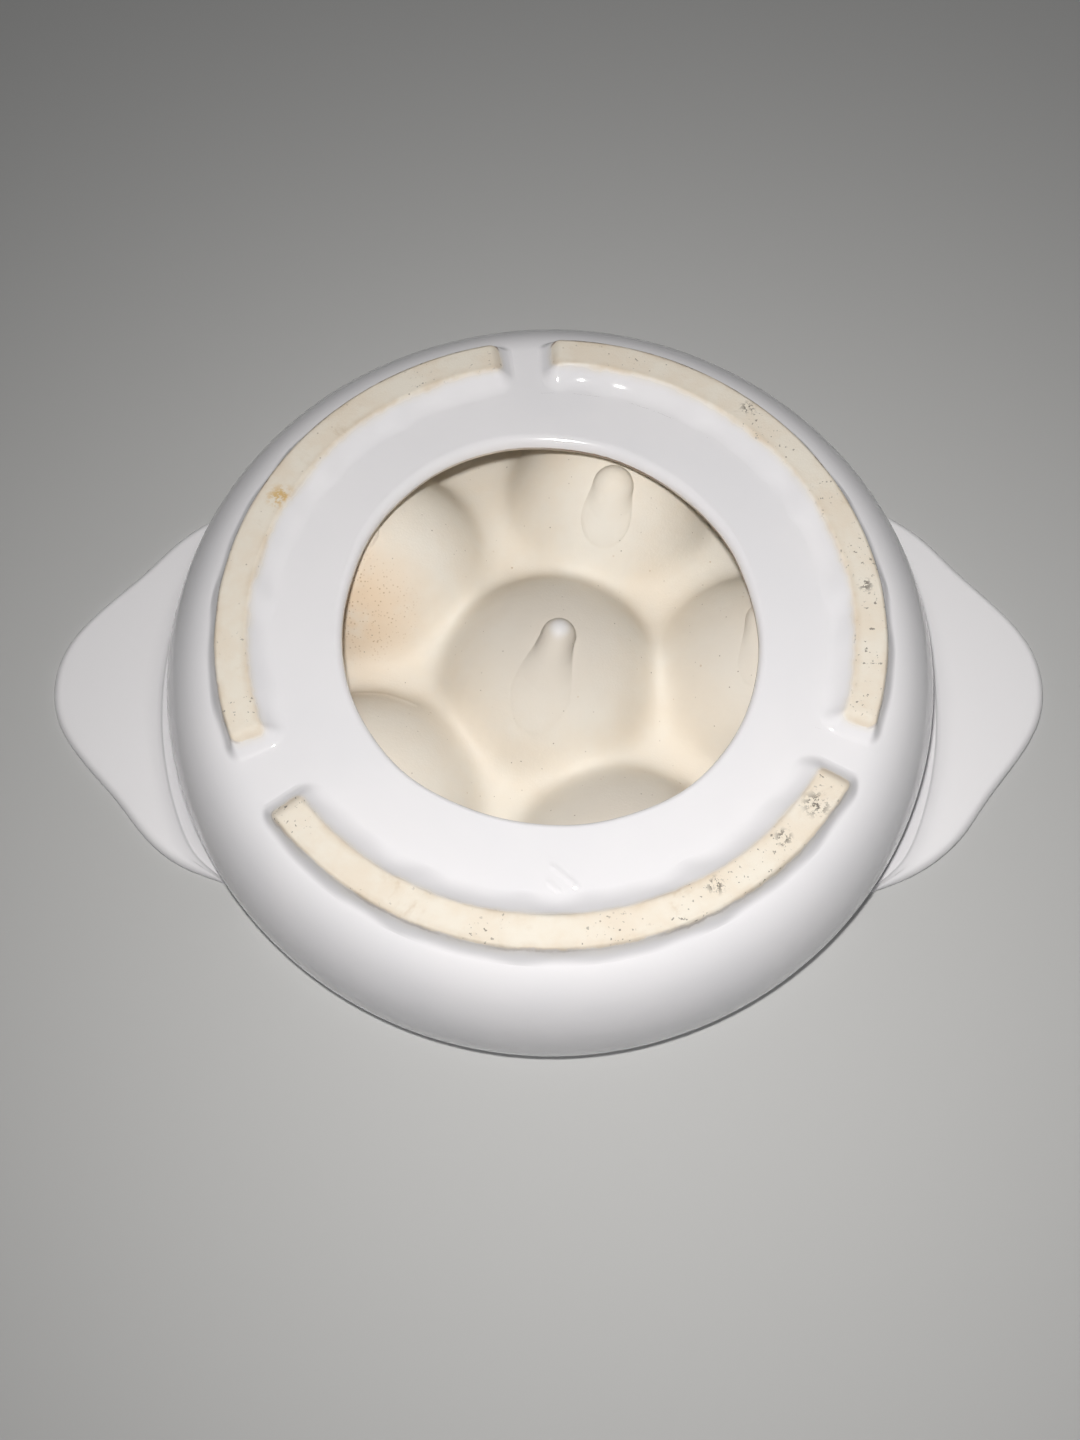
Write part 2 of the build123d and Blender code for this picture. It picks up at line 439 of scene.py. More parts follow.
def glaze_color(n):
    """Cool white, greyer where the glaze lies thicker, whiter with painted light under the handles,
    rarely specked.
    """
    cloud = n.ramp(n.noise(28.0, 3.0, 0.55), 0.35, 0.68)
    color = n.tint(GLAZE_WHITE, GLAZE_SHADE, cloud, 0.5)
    # Painted light: beyond the rim and below the top face, the glaze is painted whiter
    handle_painted_light = n.ramp(n.axis_distance(), 0.095, 0.105)
    color = n.tint(color, GLAZE_PAINTED_LIGHT, handle_painted_light, n.ramp(n.along("Z"), 0.043, 0.041))
    return n.tint(color, STAIN_TAN, n.specks(0.016, 0.014, 0.22), 0.75)


def clay_color(n):
    """Matt cream clay: cloudy, greyer on some domes partly through painted shade, peach in one
    place, finely specked.
    """
    cloud = n.ramp(n.noise(38.0, 4.0, 0.6), 0.32, 0.70)
    color = n.blend(cloud, CLAY_CREAM, CLAY_PALE)
    for center, strength in GREY_DOMES:
        # Partly painted shade: the domes are darkened against the brighter valleys between them
        color = n.tint(color, CLAY_GREY_AND_SHADE, n.near(center, 0.028), strength)
    blush = n.near(PEACH_BLUSH, 0.025)
    mottled = n.times(blush, n.ramp(n.noise(110.0, 4.0, 0.6), 0.10, 0.55))
    color = n.tint(color, PEACH, mottled, 0.62)
    dots = n.times(n.specks(0.0008, 0.34, 0.6), n.ramp(blush, 0.25, 0.85))
    color = n.tint(color, STAIN_TAN, dots, 0.7)
    color = n.tint(color, SPECK_BROWN, n.specks(0.0025, 0.085, 0.55), 0.7)
    return n.tint(color, STAIN_TAN, n.specks(0.0052, 0.07, 0.35), 0.6)


def foot_color(n, past):
    """The worn foot: pale cream, tan along its edges and in patches, pitted and scuffed."""
    cloud = n.ramp(n.noise(90.0, 4.0, 0.6), 0.34, 0.66)
    color = n.blend(cloud, FOOT_CREAM, FOOT_PALE)
    edge = n.times(n.ramp(past, 2.2, 0.2), n.ramp(n.noise(120.0, 3.0, 0.6), 0.3, 0.7))
    color = n.tint(color, STAIN_TAN, edge, 0.3)
    stain = n.ramp(n.noise(52.0, 5.0, 0.72, 0.4), 0.58, 0.76)
    color = n.tint(color, STAIN_TAN, stain, 0.45)
    grain = n.ramp(n.noise(480.0, 3.0, 0.7), 0.42, 0.58)
    color = n.tint(color, FOOT_OCHRE, n.times(n.near(OCHRE_STAIN, 0.0045), grain), 0.8)
    pits = n.ramp(n.noise(900.0, 2.0, 0.6), 0.63, 0.69)
    pits = n.times(pits, n.ramp(n.noise(75.0), 0.48, 0.6))
    color = n.tint(color, SCUFF_GREY, pits, 0.7)
    chips = n.ramp(n.noise(560.0, 3.0, 0.75), 0.49, 0.55)
    for x, y, reach in FOOT_SCUFFS:
        scuff = n.times(n.near((x, y, 0), reach), chips)
        color = n.tint(color, SCUFF_GREY, scuff, 0.85)
    return n.tint(color, SPECK_BROWN, n.specks(0.0030, 0.09, 0.5), 0.6)


def finish_surface(n, color, roughness, height, distance):
    """Sends colour, roughness and a fine relief to the shader."""
    bump = n.add("ShaderNodeBump")
    n.put_all(bump, {"Strength": 1.0, "Distance": distance, "Height": height})
    shader = n.add("ShaderNodeBsdfPrincipled")
    looks = {"Base Color": color, "Roughness": roughness, "IOR": 1.52}
    n.put_all(shader, {**looks, "Normal": bump.outputs["Normal"]})
    n.join(shader.outputs["BSDF"], n.output.inputs["Surface"])
    return n.material


def glaze_relief(n):
    """Faint orange peel and slow waves in the glaze."""
    return n.plus(n.noise(420.0, 2.0, 0.5), n.times(n.noise(75.0, 1.0), 3.0))


def glaze_roughness(n):
    return n.ramp(n.noise(60.0, 2.0), 0.3, 0.7, 0.07, 0.13)


def clay_relief(n):
    """The dry, finely pitted face of bare clay."""
    grain = n.noise(1500.0, 3.0, 0.7)
    return n.plus(grain, n.times(n.noise(260.0, 3.0, 0.6), 1.6))


def clay_roughness(n):
    return n.ramp(n.noise(200.0, 3.0), 0.3, 0.7, 0.72, 0.9)


def make_glaze():
    n = Nodes("white_glaze")
    return finish_surface(n, glaze_color(n), glaze_roughness(n), glaze_relief(n), 0.000018)


def make_drip_clay():
    """Clay that turns whiter and a little shiny towards the tip of a drip."""
    n = Nodes("clay_drip")
    tip = n.ramp(n.dry(), 0.3, -1.2)
    color = n.tint(clay_color(n), GLAZE_SHADE, tip, 0.75)
    roughness = n.ramp(tip, 0.0, 1.0, 0.82, 0.5)
    return finish_surface(n, color, roughness, clay_relief(n), 0.00004)


def finish_edge(n, bare, color, glaze_height):
    """Finishes a surface that is clay where bare is 1, and glaze where it is 0."""
    roughness = n.between(bare, glaze_roughness(n), clay_roughness(n))
    height = n.between(bare, glaze_height, clay_relief(n))
    return finish_surface(n, color, roughness, height, 0.00006)


def make_lip_edge():
    """Glaze that stops at a thin brown line on bare clay, where the mesh's dry distance is 0:
    partly the real brown edge, partly painted shadow.
    """
    n = Nodes("glaze_to_clay_lip")
    past = n.plus(n.dry(), n.swing(0.6, 330.0, 4.0, 0.65))
    bare = n.ramp(past, -0.12, 0.22)
    thin = n.ramp(past, -0.8, 0.1)
    glaze_side = n.tint(glaze_color(n), CLAY_PALE, thin, 0.55)
    color = n.blend(bare, glaze_side, clay_color(n))
    # Partly painted shadow: the brown line along the glaze edge also stands in for the shade beyond
    # it
    line = n.times(n.ramp(past, -0.45, -0.1), n.ramp(past, 0.75, 0.25))
    patchy = n.ramp(n.noise(55.0, 2.0), 0.38, 0.6, 0.3, 0.9)
    color = n.tint(color, BROWN_LINE_AND_SHADE, line, patchy)
    return finish_edge(n, bare, color, n.times(glaze_relief(n), 0.3))


def make_foot_edge():
    """The foot's worn face, which ends in a ragged line on the glaze of its flanks, with painted
    shade along its outer root.
    """
    n = Nodes("glaze_to_clay_foot")
    past = n.plus(n.dry(), n.plus(n.swing(1.1, 330.0, 4.0, 0.65), n.swing(1.4, 70.0)))
    inner = n.ramp(n.axis_distance(), 0.0745, 0.0720)
    bare = n.between(inner, n.ramp(past, -0.12, 0.22), n.ramp(past, -0.7, 0.5))
    thin = n.ramp(past, -1.6, 0.1)
    glaze_side = n.tint(glaze_color(n), FOOT_PALE, thin, 0.4)
    color = n.blend(bare, glaze_side, foot_color(n, past))
    line = n.times(n.ramp(past, -0.5, -0.1), n.ramp(past, 0.35, 0.0))
    # Painted shade: a dark line where the foot meets the wall, standing in for shade and dark
    # reflection in that crease
    outer = n.times(line, n.ramp(n.axis_distance(), 0.0752, 0.0766))
    patchy = n.ramp(n.noise(48.0, 2.0), 0.38, 0.66, 0.05, 0.4)
    # Painted shade: the line is made darker on the -Y side of the tray
    patchy = n.between(n.ramp(n.along("Y"), 0.012, -0.012), patchy, 0.8)
    color = n.tint(color, BROWN_LINE_AND_SHADE, outer, patchy)
    return finish_edge(n, bare, color, n.plus(n.times(glaze_relief(n), 0.3), 1.4))


glaze = make_glaze()
drip_clay = make_drip_clay()
lip_edge = make_lip_edge()
foot_edge = make_foot_edge()


# ------------ wall, base and rim


def section(runs):
    """Joins runs of (points, normals) into one closed section."""
    return np.concatenate([r[0] for r in runs]), np.concatenate([r[1] for r in runs])


def make_wall():
    """The bulging wall, glazed outside and bare inside."""
    spread, rise = belly_radius - base_radius, belly_height - base_under
    inner = upper_wall_radius - wall_thickness
    inner_end = math.degrees(math.asin((rim_under - belly_height) / inner))
    upper = (upper_wall_center, belly_height)
    lower = (base_radius, belly_height)
    inner_size = (spread - wall_thickness, rise + base_under - base_top)
    outside = [
        run_of(lower, (spread, rise), 270, 360, 56),
        run_of(upper, (upper_wall_radius,) * 2, 1, math.degrees(rim_start), 10),
    ]
    inside = [
        run_of(upper, (inner,) * 2, inner_end, 1, 6, -1),
        run_of(lower, inner_size, 360, 270, 14, -1),
    ]
    spots, sides = section(outside + inside)
    outer_count = sum(len(run[0]) for run in outside)
    angles = np.linspace(0, 2 * math.pi, 400, endpoint=False)
    points, normals = turned(spots[None], sides[None], angles)
    dry = np.tile(np.where(np.arange(len(spots)) < outer_count, glazed, bare_clay), len(angles))
    faces = grid_faces(len(angles), len(spots), True, True)
    add_piece("glazed_bowl_wall", ["bowl_wall"], lip_edge, points, normals, faces, dry)


# The hole in the base was cut by hand: its mean radius, and the waves that shape its edge, as
# (turns, size, heading)
OPENING_RADIUS = 49.0
OPENING_WAVES = [(1, 0.3, 153.0), (2, 1.0, 52.0), (3, 0.4, 23.0)]
OPENING_WAVES += [(4, 0.3, -37.0), (9, 0.09, 10.0), (14, 0.05, 3.0)]


def opening_radius(angle):
    """The hole's radius at an angle: an oval with a slight wander."""
    wander = 0.0
    for turns, size, heading in OPENING_WAVES:
        wander = wander + size * np.cos(turns * (angle - math.radians(heading)))
    return OPENING_RADIUS + wander


# Ridges in the glaze on the +Y side of the hole, as (start, end, height)
WRINKLES = (((0.2, 58.4), (5.0, 62.6), 0.26), ((-0.6, 62.0), (1.2, 63.6), 0.18))
WRINKLE_WIDTH = 0.65


def wrinkle(x, y):
    """Height of the ridges in the glaze at these places."""
    height = 0.0
    for start, end, size in WRINKLES:
        away = segment_distance(x, y, start, end) / WRINKLE_WIDTH
        height = height + size * np.exp(-(away**2))
    return height


def make_base():
    """The flat base, with a softly rounded lip round its hole, fuller towards -Y. The glaze stops
    inside the lip."""
    angles = np.linspace(0, 2 * math.pi, 480, endpoint=False)
    mean_lip, lip_lean, top_lip = 1.9, 0.8, 1.1
    glaze_edge, edge_band = base_top - top_lip - 0.2, 3.0  # its height, and its widest reach
    rows, side_rows = [], []
    for angle in angles:
        hole = float(opening_radius(angle))
        lip = mean_lip - lip_lean * math.sin(angle)
        spots, sides = section(
            [
                straight((base_radius, base_under), (hole + lip + 0.3, base_under), 48, (0, -1)),
                run_of((hole + lip, base_under + lip), (lip, lip), 270, 180, 14),
                run_of((hole + top_lip, base_top - top_lip), (top_lip, top_lip), 178, 90, 6),
                straight((hole + top_lip + 0.8, base_top), (base_radius, base_top), 5, (0, 1)),
            ]
        )
        rows.append(spots)
        side_rows.append(sides)
    spots, sides = np.array(rows), np.array(side_rows)
    points, normals = turned(spots, sides, angles)
    flat = normals[:, 2] < -0.999
    x, y = points[flat, 0], points[flat, 1]
    rise_x, rise_y = slope_of(wrinkle, x, y)
    points[flat, 2] -= wrinkle(x, y)
    normals[flat] = unit(np.column_stack([-rise_x, -rise_y, -np.ones(len(x))]))
    beyond = spots[..., 0] > opening_radius(angles)[:, None] + edge_band
    dry = spots[..., 1] - glaze_edge
    dry = np.where(beyond, np.sign(dry) * bare_clay, dry).ravel()
    faces = grid_faces(len(angles), spots.shape[1], True, True)
    add_piece("glazed_base_ring", ["base_ring"], lip_edge, points, normals, faces, dry)


def rim_curve(count):
    """The rim's outside, from the flat top down to its underside."""
    angle = math.asin((shoulder_height - belly_height) / upper_wall_radius)
    at = upper_wall_center + upper_wall_radius * math.cos(angle)
    radius = (tray_height - shoulder_height) / (1 - math.sin(angle))
    center = (at - radius * math.cos(angle), tray_height - radius)
    turn = math.degrees(angle)
    half = count // 2
    edge = run_of(center, (radius, radius), 90, turn, half)
    wall = (upper_wall_center, belly_height)
    upper = run_of(wall, (upper_wall_radius,) * 2, turn, math.degrees(rim_start), count - half + 1)
    return np.concatenate([edge[0], upper[0][1:]]), np.concatenate([edge[1], upper[1][1:]])


def open_sweep(rows, columns):
    """Faces of a section swept through an angle, with a flat face at each end."""
    ends = [list(range(columns))[::-1], list(range((rows - 1) * columns, rows * columns))]
    return grid_faces(rows, columns, False, True) + ends


def make_rims():
    """The rounded rim between the handles, front and back."""
    spots, sides = rim_curve(24)
    spots = np.vstack([spots, [deck_radius, rim_under]])
    sides = np.vstack([sides, [0.0, -1.0]])
    for side, start in (("back", handle_sector), ("front", 180 + handle_sector)):
        angles = np.radians(np.linspace(start, start + 180 - 2 * handle_sector, 121))
        points, normals = turned(spots[None], sides[None], angles)
        faces = open_sweep(len(angles), len(spots))
        add_piece(f"glazed_rim_{side}", [f"rim_{side}"], glaze, points, normals, faces)


# ------------ handles


def root_relief(radius):
    """How far the underside stands below the flat plate near a handle's root: a soft swelling
    with the thin seam of the mould along it."""
    swelling_height, swelling_width = 0.85, 4.15
    seam_height, seam_width, seam_offset = 0.24, 0.35, 0.25
    swelling = swelling_height * np.clip(1 - (radius - root_end) / swelling_width, 0, 1) ** 2
    swelling = swelling * smooth_step((radius - root_start) / (root_end - root_start))
    seam = seam_height * np.exp(-(((radius - root_end - seam_offset) / seam_width) ** 2))
    return swelling + seam


def handle_section(reach):
    """A handle's outside at one angle, from the flat top round the edge and back along the
    underside, through the fillet, to where it meets the wall. reach is how far out the handle
    goes there: where it comes near the rim, the section turns softly into the rim's."""
    shortest_flat, softness, band_width = 2.2, 1.6, 1.6
    least = root_end + plate_edge + shortest_flat
    plate_reach = least + softness * math.log1p(math.exp((reach - least) / softness))
    half = (tray_height - rim_under) / 2
    edge_start = plate_reach - plate_edge
    seam_band = root_end + band_width
    top, _ = straight((deck_radius, tray_height), (edge_start - 0.5, tray_height), 12, (0, 1))
    edge, _ = run_of((edge_start, tray_height - half), (plate_edge, half), 90, -90, 18)
    under, _ = straight((edge_start - 0.4, rim_under), (seam_band + 0.2, rim_under), 12, (0, -1))
    band, _ = straight((seam_band, rim_under), (root_end, rim_under), 12, (0, -1))
    turn = 180 + math.degrees(root_touch)
    fillet, _ = run_of((root_end, rim_under - root_fillet), (root_fillet,) * 2, 92, turn, 18)
    plate = np.concatenate([top, edge, under, band, fillet])
    lower = np.arange(len(plate)) >= len(top) + len(edge)
    plate[:, 1] -= np.where(lower, root_relief(plate[:, 0]), 0)
    rim, _ = rim_curve(len(plate))
    middle_reach = rim[np.argmin(np.abs(rim[:, 1] - tray_height + half)), 0]
    fade = np.clip((plate_reach - reach) / (plate_reach - middle_reach), 0, 1)
    return (1 - fade) * plate + fade * rim


def make_handles():
    """Two flat lug handles, each with its stretch of rim."""
    rows = 241
    angles = np.radians(np.linspace(-handle_sector, handle_sector, rows))
    sides = (("right", 0.0, right_handle_outline), ("left", math.pi, left_handle_outline))
    for side, facing, outline in sides:
        xy = np.array(outline)
        reach_at = spline_through(np.arctan2(xy[:, 1], xy[:, 0]), np.hypot(xy[:, 0], xy[:, 1]))
        spots = np.array([handle_section(float(reach_at(abs(a)))) for a in angles])
        ring, _ = turned(spots, spots, angles + facing)
        ring = ring.reshape(rows, -1, 3)
        directions = unit(np.cross(np.gradient(ring, axis=1), np.gradient(ring, axis=0)))
        corner = np.tile([deck_radius, rim_under], (rows, 1, 1))
        hidden, _ = turned(corner, corner, angles + facing)
        points = np.concatenate([ring, hidden[:, None]], 1)
        normals = np.concatenate([directions, np.tile([0.0, 0.0, -1.0], (rows, 1, 1))], 1)
        faces = open_sweep(rows, points.shape[1])
        points, normals = points.reshape(-1, 3), normals.reshape(-1, 3)
        node = f"handle_{side}"
        add_piece(f"glazed_{node}", [node], glaze, points, normals, faces)


# ------------ wells


def dome_ridge(x, y):
    """A low scuffed ridge where two domes of the mould meet."""
    start, bend, end = (-49.0, 6.5), (-41.0, 7.2), (-33.5, 10.5)
    ridge_height, ridge_width = 0.45, 0.8
    away = np.minimum(segment_distance(x, y, start, bend), segment_distance(x, y, bend, end))
    return ridge_height * np.exp(-((away / ridge_width) ** 2))


def underside(xy):
    """Height and normal of the clay under the wells at these (x, y): domes that run into each
    other and into the clay between them in soft valleys."""
    softness = 3.2
    centers = np.array([[c[0], c[1], dome_center] for c in cup_centers])

    def field(z):
        p = np.column_stack([xy, z])
        away = p[:, None, :] - centers[None]
        distance = np.linalg.norm(away, axis=-1)
        apart = np.column_stack([distance - dome_radius, valley_height - z])
        weight = np.exp(-(apart - apart.min(1, keepdims=True)) / softness)
        total = weight.sum(1)
        value = apart.min(1) - softness * np.log(total)
        share = weight / total[:, None]
        slope = (share[:, :-1, None] * away / distance[..., None]).sum(1)
        slope[:, 2] -= share[:, -1]
        return value, slope

    low, high = np.full(len(xy), dome_bottom - 6.0), np.full(len(xy), deck_under + 0.5)
    for _ in range(40):
        middle = (low + high) / 2
        inside = field(middle)[0] < 0
        high = np.where(inside, middle, high)
        low = np.where(inside, low, middle)
    normal = unit(field(high)[1])
    x, y = xy[:, 0], xy[:, 1]
    level = np.minimum(normal[:, 2], -0.05)
    rise_x, rise_y = slope_of(dome_ridge, x, y)
    tilt = np.column_stack([rise_x * level, rise_y * level, np.zeros(len(xy))])
    return high - dome_ridge(x, y), unit(normal + tilt)


CUP_STEPS = 168


def cup_ring(center):
    """Points round a cup's neck, shared by the cup and the deck."""
    return center + cup_neck * circle(CUP_STEPS)


def make_cup(index, center):
    """One cup: a glazed round-bottomed well with a rolled mouth, and its bare dome below."""
    around = circle(CUP_STEPS)
    well_depth = mouth_height - well_floor
    lip_center = (well_radius + well_lip_radius, mouth_height)
    spots, sides = section(
        [
            straight((cup_neck, tray_height), (lip_center[0] + 0.2, tray_height), 2, (0, 1)),
            run_of(lip_center, (well_lip_radius,) * 2, 90, 180, 10),
            run_of((0, mouth_height), (well_radius, well_depth), 358, 272, 32, -1),
        ]
    )

    def spun(pairs, middle):
        heights = np.tile(pairs[:, None, 1:], (1, CUP_STEPS, 1))
        return np.concatenate([middle + pairs[:, None, :1] * around, heights], -1)

    reach = cup_neck * np.sin(np.linspace(math.radians(1.5), math.pi / 2, 50))
    flat = center + reach[:, None, None] * around[None]
    height, slope = underside(flat.reshape(-1, 2))
    below = np.concatenate([flat, height.reshape(len(reach), CUP_STEPS, 1)], -1)
    below_sides = slope.reshape(len(reach), CUP_STEPS, 3)
    pole_height, pole_slope = underside(center[None])
    rings = np.concatenate([below, spun(spots, center)])
    ring_sides = np.concatenate([below_sides, spun(sides, 0)])
    rows = len(rings)
    poles = [[center[0], center[1], pole_height[0]], [center[0], center[1], well_floor]]
    points = np.concatenate([rings.reshape(-1, 3), poles])
    normals = np.concatenate([ring_sides.reshape(-1, 3), pole_slope, [[0, 0, 1]]])
    end = rows * CUP_STEPS
    faces = grid_faces(rows, CUP_STEPS, False, True)
    faces += fan_faces(end, list(range(CUP_STEPS))[::-1])
    faces += fan_faces(end + 1, list(range(end - CUP_STEPS, end)))
    dry = np.where(np.arange(len(points)) < len(reach) * CUP_STEPS, bare_clay, glazed)
    dry[-2:] = bare_clay, glazed
    well = "egg_well_center" if index == 0 else f"egg_well_{index}"
    add_piece(f"glazed_{well}", [well], lip_edge, points, normals, faces, dry)


def make_deck():
    """The flat top between the cups, glazed above and bare below."""
    spacing = 1.5
    loops = [deck_radius * circle(360)] + [cup_ring(c) for c in cup_centers]
    steps = np.arange(-deck_radius, deck_radius, spacing)
    gx, gy = np.meshgrid(steps, steps * math.sqrt(3) / 2)
    gx = gx + (np.arange(len(steps))[:, None] % 2) * spacing / 2
    filler = np.stack([gx.ravel(), gy.ravel()], 1)
    keep = np.hypot(*filler.T) < deck_radius - spacing * 0.6
    for c in cup_centers:
        keep &= np.hypot(*(filler - c).T) > cup_neck + spacing * 0.5
    filler = filler[keep]
    verts, edges, start = [], [], 0
    for loop in loops:
        count = len(loop)
        verts += loop.tolist()
        edges += [(start + i, start + (i + 1) % count) for i in range(count)]
        start += count
    verts += filler.tolist()
    flat, _, triangles, *_ = delaunay_2d_cdt([Vector(v) for v in verts], edges, [], 0, 1e-6)
    flat = np.array([tuple(v) for v in flat])
    middles = np.array([flat[list(t)].mean(0) for t in triangles])
    inside = np.hypot(*middles.T) < deck_radius
    for c in cup_centers:
        inside &= np.hypot(*(middles - c).T) > cup_neck * math.cos(math.pi / CUP_STEPS)
    triangles = [list(t) for t, ok in zip(triangles, inside) if ok]
    height, slope = underside(flat)
    count = len(flat)
    top = np.column_stack([flat, np.full(count, tray_height)])
    points = np.concatenate([top, np.column_stack([flat, height])])
    normals = np.concatenate([np.tile([0.0, 0.0, 1.0], (count, 1)), slope])
    faces = triangles + [[i + count for i in t[::-1]] for t in triangles]
    sides = {pair: None for t in triangles for pair in zip(t, t[1:] + t[:1])}
    faces += [[b, a, a + count, b + count] for a, b in sides if (b, a) not in sides]
    dry = np.repeat([glazed, bare_clay], count)
    add_piece("glazed_well_deck", ["well_deck"], lip_edge, points, normals, faces, dry)


# ------------ foot


foot_gaps = [26.5, 149.0, 265.2]  # headings of the gaps' middles
foot_gap_widths = [14.0, 17.4, 14.0]  # degrees
foot_flat_inner = 70.0
foot_flat_outer = 76.9
foot_middle = (foot_flat_inner + foot_flat_outer) / 2
foot_inner_run = 6.2
foot_outer_run = 3.0
foot_end_run = 5.8
foot_corner = 1.5
foot_step = 0.6  # between points along the foot
foot_flank_curve = 2.1  # how hollow the flanks are
foot_bare_end = 2.2  # how far bare clay runs down the ends
foot_wear = 0.3  # how far it runs past the face all round
foot_uneven = ((0.35, 3.4, 1.0), (0.25, 2.1, 0.0))  # waves along the foot in that curve


def base_height(radius):
    """Height of the outside of the base and of the start of the wall at a radius."""
    spread, rise = belly_radius - base_radius, belly_height - base_under
    along = np.clip((radius - base_radius) / spread, 0, 1)
    return belly_height - rise * np.sqrt(1 - along**2)


def past_corner(a, b):
    """Distance past two edges that meet in a rounded corner; below 0 inside both."""
    a, b = a + foot_corner, b + foot_corner
    inside = np.minimum(np.maximum(a, b), 0)
    return np.hypot(np.maximum(a, 0), np.maximum(b, 0)) + inside - foot_corner


def foot_surface(length, radius, half_length):
    """The foot's height, the base's height above it, and the dry distance. length runs along the
    foot from its middle."""
    half_width = (foot_flat_outer - foot_flat_inner) / 2
    across = radius - foot_middle
    side_run = np.where(across < 0, foot_inner_run, foot_outer_run)
    side = (np.abs(across) - half_width) / side_run
    end = (np.abs(length) - half_length) / foot_end_run
    side_part, end_part = np.maximum(side, 0), np.maximum(end, 0)
    t = np.hypot(side_part, end_part)
    surface = base_height(radius)
    uneven = sum(size * np.sin(length / wave + shift) for size, wave, shift in foot_uneven)
    flank = np.clip(1 - t, 0, 1) ** (foot_flank_curve + uneven)
    round_end = smooth_step(np.arctan2(end_part, side_part) / (math.pi / 2))
    share = flank + (1 - smooth_step(t) - flank) * round_end
    height = surface * (1 - share)
    past = past_corner(np.abs(across) - half_width, np.abs(length) - half_length - foot_bare_end)
    return np.minimum(height, surface - 0.02), surface, foot_wear - past


def make_foot():
    """Three stretches of foot: glazed flanks that flow out of the base, and a worn dry face."""
    for index, gap in enumerate(foot_gaps):
        start = gap + foot_gap_widths[index] / 2
        following = (index + 1) % 3
        span = (foot_gaps[following] - foot_gap_widths[following] / 2 - start) % 360
        half_length = math.radians(span / 2) * foot_middle
        center_angle = math.radians(start + span / 2)
        whole = half_length + foot_end_run
        along = np.linspace(-whole, whole, int(2 * whole / foot_step))
        inner = np.linspace(foot_flat_inner - foot_inner_run, foot_flat_inner, 16, endpoint=False)
        face = np.linspace(foot_flat_inner, foot_flat_outer, 12, endpoint=False)
        outer = np.linspace(foot_flat_outer, foot_flat_outer + foot_outer_run, 9)
        out = np.concatenate([inner, face, outer])
        length, radius = np.meshgrid(along, out, indexing="ij")
        height, surface, dry = foot_surface(length, radius, half_length)
        angle = center_angle + length / foot_middle
        x, y = radius * np.cos(angle), radius * np.sin(angle)
        points = np.stack([x, y, height], -1)
        sides = unit(np.cross(np.gradient(points, axis=0), np.gradient(points, axis=1)))
        sides *= np.where(sides[..., 2:] > 0, -1, 1)
        hidden = np.stack([x, y, surface + 0.08], -1)
        down = np.tile([0.0, 0.0, -1.0], (length.size, 1))
        rows, columns = length.shape
        count = length.size
        back = [face[::-1] for face in grid_faces(rows, columns, False, False, count)]
        grid = np.arange(count).reshape(rows, columns)
        border = [grid[:, 0], grid[-1, 1:], grid[-2::-1, -1], grid[0, -2:0:-1]]
        skirt = skirt_faces(np.concatenate(border)[::-1].tolist(), count)
        points = np.concatenate([points.reshape(-1, 3), hidden.reshape(-1, 3)])
        normals = np.concatenate([sides.reshape(-1, 3), down])
        faces = grid_faces(rows, columns, False, False) + back + skirt
        dry = np.concatenate([dry.ravel(), np.full(count, glazed)])
        name, node = f"foot_pad_{index + 1}", f"foot_arc_{index + 1}"
        add_piece(name, [node], foot_edge, points, normals, faces, dry)


# ------------ drips


def make_drip(suffix, center, head, tail, widths, heights):
    """A drip frozen on a dome: a blunt nose at its head, running back and widening into a thin
    tail. head and tail are offsets from the dome's middle, widths are the radii at both, and
    heights say how far the drip stands out from head to tail. Only a tall drip has a white tip."""
    white_tip, margin = 3.7, 0.8  # how far out a drip turns white, and the clay round it
    head, tail = np.array(head), np.array(tail)
    length = np.linalg.norm(tail - head)
    ahead = (tail - head) / length
    aside = np.array([-ahead[1], ahead[0]])
    rings, steps = 44, 112
    t = np.arange(steps) * 2 * math.pi / steps
    reach = np.linspace(1 / rings, 1, rings)
    half_wide = max(widths) + margin
    half_long = length / 2 + half_wide
    along = np.append((reach[:, None] * np.cos(t) * half_long).ravel(), 0.0) + length / 2
    across = np.append((reach[:, None] * np.sin(t) * half_wide).ravel(), 0.0)
    stand = np.zeros(len(along))
    for share in np.linspace(0, 1, 60):
        width = widths[0] + (widths[1] - widths[0]) * smooth_step(share)
        away = np.hypot(along - share * length, across) / width
        steepness = 0.6 + 0.3 * math.sin(math.pi * share)
        cap = np.interp(share, (0, 0.4, 0.7, 1), heights) * np.clip(1 - away**2, 0, 1) ** steepness
        stand = np.maximum(stand, cap)
    xy = center + head + along[:, None] * ahead + across[:, None] * aside
    height, slope = underside(xy)
    ground = np.column_stack([xy, height])
    points = ground + slope * (stand[:, None] + 0.02)
    grid = points[:-1].reshape(rings, steps, 3)
    around = np.roll(grid, -1, 1) - np.roll(grid, 1, 1)
    sides = unit(np.cross(around, np.gradient(grid, axis=0))).reshape(-1, 3)
    sides *= np.where((sides * slope[:-1]).sum(1, keepdims=True) < 0, -1, 1)
    sides = np.vstack([sides, unit(sides[:steps].mean(0))])
    count, last = len(points), (rings - 1) * steps
    front = grid_faces(rings, steps, False, True) + fan_faces(count - 1, list(range(steps))[::-1])
    back = [[i + count for i in face[::-1]] for face in front]
    skirt = skirt_faces(list(range(last, last + steps)), count)
    points = np.concatenate([points, ground - slope * 0.1])
    normals = np.concatenate([sides, slope])
    dry = np.concatenate([white_tip - stand, np.full(count, bare_clay)])
    name, node = f"clay_drip_{suffix}", f"slip_drip_{suffix}"
    add_piece(name, [node], drip_clay, points, normals, front + back + skirt, dry)


